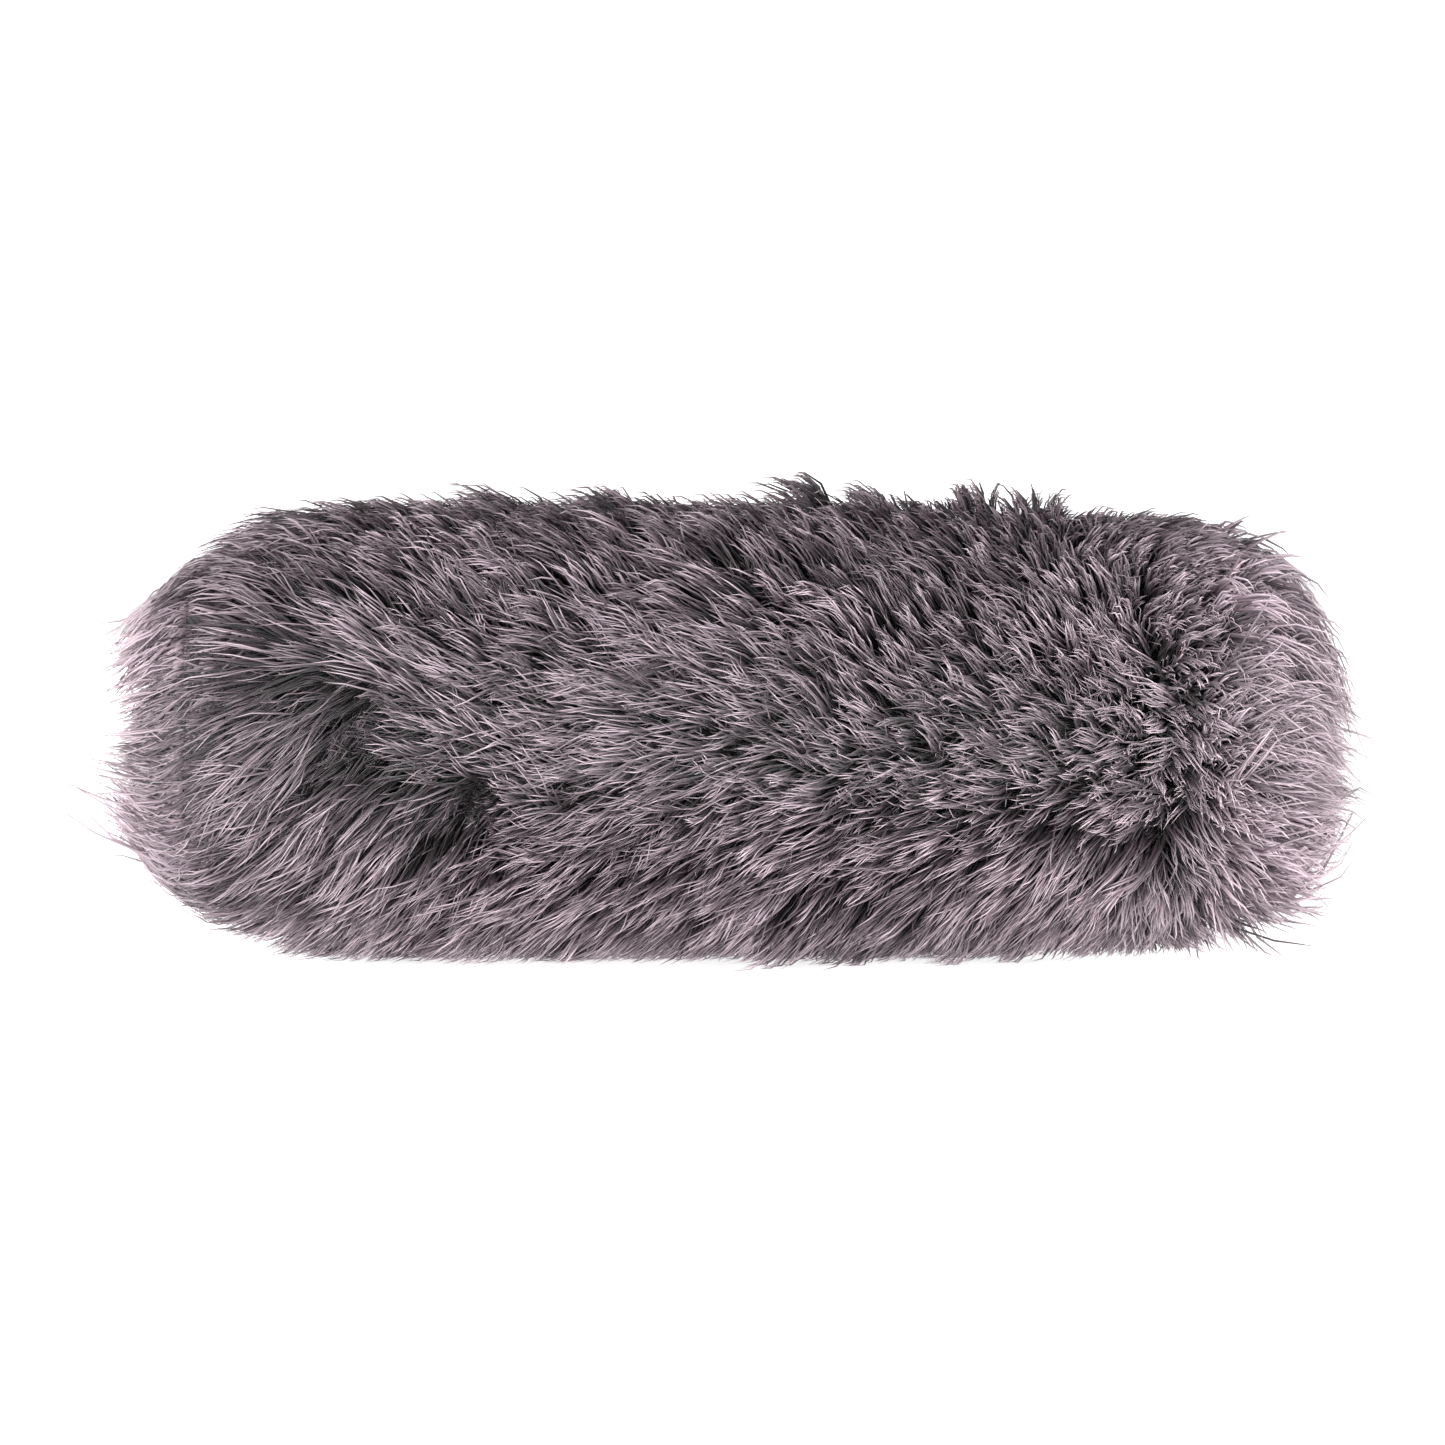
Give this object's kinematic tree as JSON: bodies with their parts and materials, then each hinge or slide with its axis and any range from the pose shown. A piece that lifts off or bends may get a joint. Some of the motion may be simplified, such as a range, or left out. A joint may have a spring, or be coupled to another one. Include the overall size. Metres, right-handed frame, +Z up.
{
  "type": "furry microphone windscreen",
  "caption": "Slip-on long-pile windscreen for a shotgun microphone: lattice cage, foam, twist-lock rubber boot and a removable fur jacket.",
  "frame": {"origin": "centre of the bounding box's bottom, on the surface that the windscreen lies on", "axes": "+X along the microphone's axis towards the nose, +Y to the windscreen's left, +Z up; the microphone enters from -X"},
  "size_m": [0.2458, 0.094, 0.0925],
  "materials": {
    "fur": "long-pile acrylic fur, warm grey with lighter tips",
    "knit_backing": "knitted polyester backing",
    "binding_tape": "woven tape, stitched",
    "elastic": "braided elastic",
    "foam": "open-cell polyurethane foam",
    "mesh": "fine woven acoustic mesh",
    "frame_plastic": "moulded nylon, fine matt texture",
    "cage_plastic": "moulded nylon, matt",
    "collar_plastic": "moulded nylon, satin grip",
    "rubber": "moulded silicone rubber, matt",
    "screw_steel": "zinc-plated steel"
  },
  "bodies": {
    "core": {"rear_frame": "frame_plastic", "cage_left_half": "cage_plastic", "cage_right_half": "cage_plastic", "nose_frame": "frame_plastic", "mesh_liner": "mesh", "nose_mesh": "mesh", "tip_foam_stop": "foam", "foam_sleeve": "foam", "foam_nose_disc": "foam", "rear_screws": "screw_steel", "nose_screws": "screw_steel", "rear_fur_backing": "knit_backing", "rear_fur_pile": "fur"},
    "mic_collar": {"collar_ring": "collar_plastic", "collar_seal": "rubber", "mic_boot": "rubber", "boot_clamp_plate": "frame_plastic", "clamp_screws": "screw_steel"},
    "fur_jacket": {"jacket_body_backing": "knit_backing", "jacket_nose_backing": "knit_backing", "nose_seam_binding": "binding_tape", "belly_seam_tape": "binding_tape", "hem_casing": "binding_tape", "hem_elastic": "elastic", "jacket_body_pile": "fur", "jacket_nose_pile": "fur"}
  },
  "joints": [
    {"name": "jacket_pull", "type": "slide", "parent": "core", "child": "fur_jacket", "axis": [1, 0, 0], "range_m": [0, 0.225]},
    {"name": "collar_twist", "type": "hinge", "parent": "core", "child": "mic_collar", "pos_m": [-0.0999, 0, 0.0455], "axis": [-1, 0, 0], "range_deg": [0, 30]}
  ]
}
